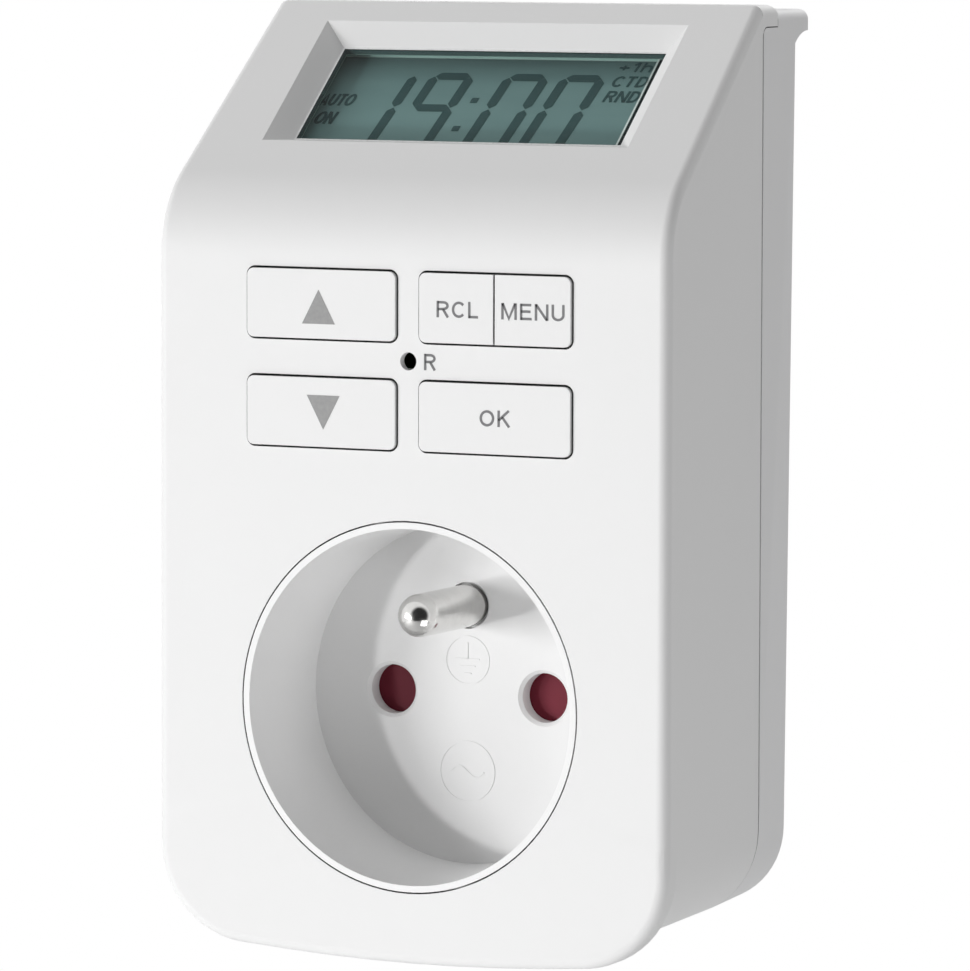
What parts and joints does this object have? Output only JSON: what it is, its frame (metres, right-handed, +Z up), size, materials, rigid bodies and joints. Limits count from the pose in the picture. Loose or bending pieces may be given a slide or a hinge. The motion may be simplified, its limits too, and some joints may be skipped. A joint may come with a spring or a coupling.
{
  "type": "plug-in timer switch",
  "caption": "Plug-in digital timer switch: slant-topped housing with display and keys, round recessed socket outlet with earth pin in front, two-pin plug behind.",
  "frame": {"origin": "centre of the plug's mating face, on the axis of the socket well", "axes": "+X right seen by the user, -Y towards the user, +Y into the wall, +Z up"},
  "size_m": [0.063, 0.0717, 0.1061],
  "materials": {
    "housing_plastic": "satin white moulding",
    "rear_plastic": "satin light grey-white moulding",
    "insert_plastic": "satin white moulding",
    "steel": "bright zinc plated",
    "dark_plastic": "matte",
    "shutter_plastic": "matte dark red",
    "nickel_brass": "nickel plated brass, bright",
    "brass": "plain stamped",
    "board": "glass epoxy with green resist",
    "component_plastic": "matte",
    "key_plastic": "satin white",
    "window": "clear polished plastic",
    "lcd_glass": "grey-green display glass"
  },
  "bodies": {
    "housing": {"front_shell": "housing_plastic", "rear_shell": "rear_plastic", "housing_screws": "steel", "socket_insert": "insert_plastic", "socket_floor": "insert_plastic", "contact_block": "dark_plastic", "contact_block_screws": "steel", "shutter_spring": "steel", "contact_sleeve_neutral": "brass", "contact_sleeve_live": "brass", "earth_pin": "nickel_brass", "earth_bracket": "nickel_brass", "plug_earth_sleeve": "brass", "pin_carrier": "dark_plastic", "carrier_screws": "steel", "plug_pin_neutral": "nickel_brass", "plug_pin_live": "nickel_brass", "neutral_busbar": "brass", "live_busbar_in": "brass", "live_busbar_out": "brass", "power_board": "board", "power_board_screws": "steel", "relay": "dark_plastic", "mains_capacitor": "component_plastic", "smoothing_capacitor": "dark_plastic", "varistor": "component_plastic", "rectifier_diodes": "dark_plastic", "dropper_resistor": "component_plastic", "ribbon_cable": "component_plastic", "control_board": "board", "control_board_screws": "steel", "controller_chip": "dark_plastic", "quartz_crystal": "steel", "backup_battery": "component_plastic", "key_switches": "dark_plastic", "reset_switch": "dark_plastic", "lcd_lens": "window", "lcd_panel": "lcd_glass", "lcd_frame": "component_plastic", "lcd_frame_screws": "steel", "lcd_flex": "component_plastic"},
    "shutter": {"shutter": "shutter_plastic"},
    "key_up": {"key_up": "key_plastic", "plunger_up": "dark_plastic"},
    "key_down": {"key_down": "key_plastic", "plunger_down": "dark_plastic"},
    "key_recall": {"key_recall": "key_plastic", "plunger_recall": "dark_plastic"},
    "key_menu": {"key_menu": "key_plastic", "plunger_menu": "dark_plastic"},
    "key_ok": {"key_ok": "key_plastic", "plunger_ok": "dark_plastic"},
    "reset": {"reset_plunger": "dark_plastic"}
  },
  "joints": [
    {"name": "key_up_press", "type": "slide", "parent": "housing", "child": "key_up", "axis": [0, 1, 0], "range_m": [0, 0.0004], "stiffness_N_per_m": 600, "springref_m": -0.0004},
    {"name": "key_down_press", "type": "slide", "parent": "housing", "child": "key_down", "axis": [0, 1, 0], "range_m": [0, 0.0004], "stiffness_N_per_m": 600, "springref_m": -0.0004},
    {"name": "key_recall_press", "type": "slide", "parent": "housing", "child": "key_recall", "axis": [0, 1, 0], "range_m": [0, 0.0004], "stiffness_N_per_m": 600, "springref_m": -0.0004},
    {"name": "key_menu_press", "type": "slide", "parent": "housing", "child": "key_menu", "axis": [0, 1, 0], "range_m": [0, 0.0004], "stiffness_N_per_m": 600, "springref_m": -0.0004},
    {"name": "key_ok_press", "type": "slide", "parent": "housing", "child": "key_ok", "axis": [0, 1, 0], "range_m": [0, 0.0004], "stiffness_N_per_m": 600, "springref_m": -0.0004},
    {"name": "reset_press", "type": "slide", "parent": "housing", "child": "reset", "axis": [0, 1, 0], "range_m": [0, 0.0005], "stiffness_N_per_m": 400, "springref_m": -0.0004},
    {"name": "shutter_slide", "type": "slide", "parent": "housing", "child": "shutter", "axis": [0, 0, -1], "range_m": [0, 0.0065], "stiffness_N_per_m": 120, "springref_m": -0.002, "deforming": ["shutter_spring"]}
  ]
}
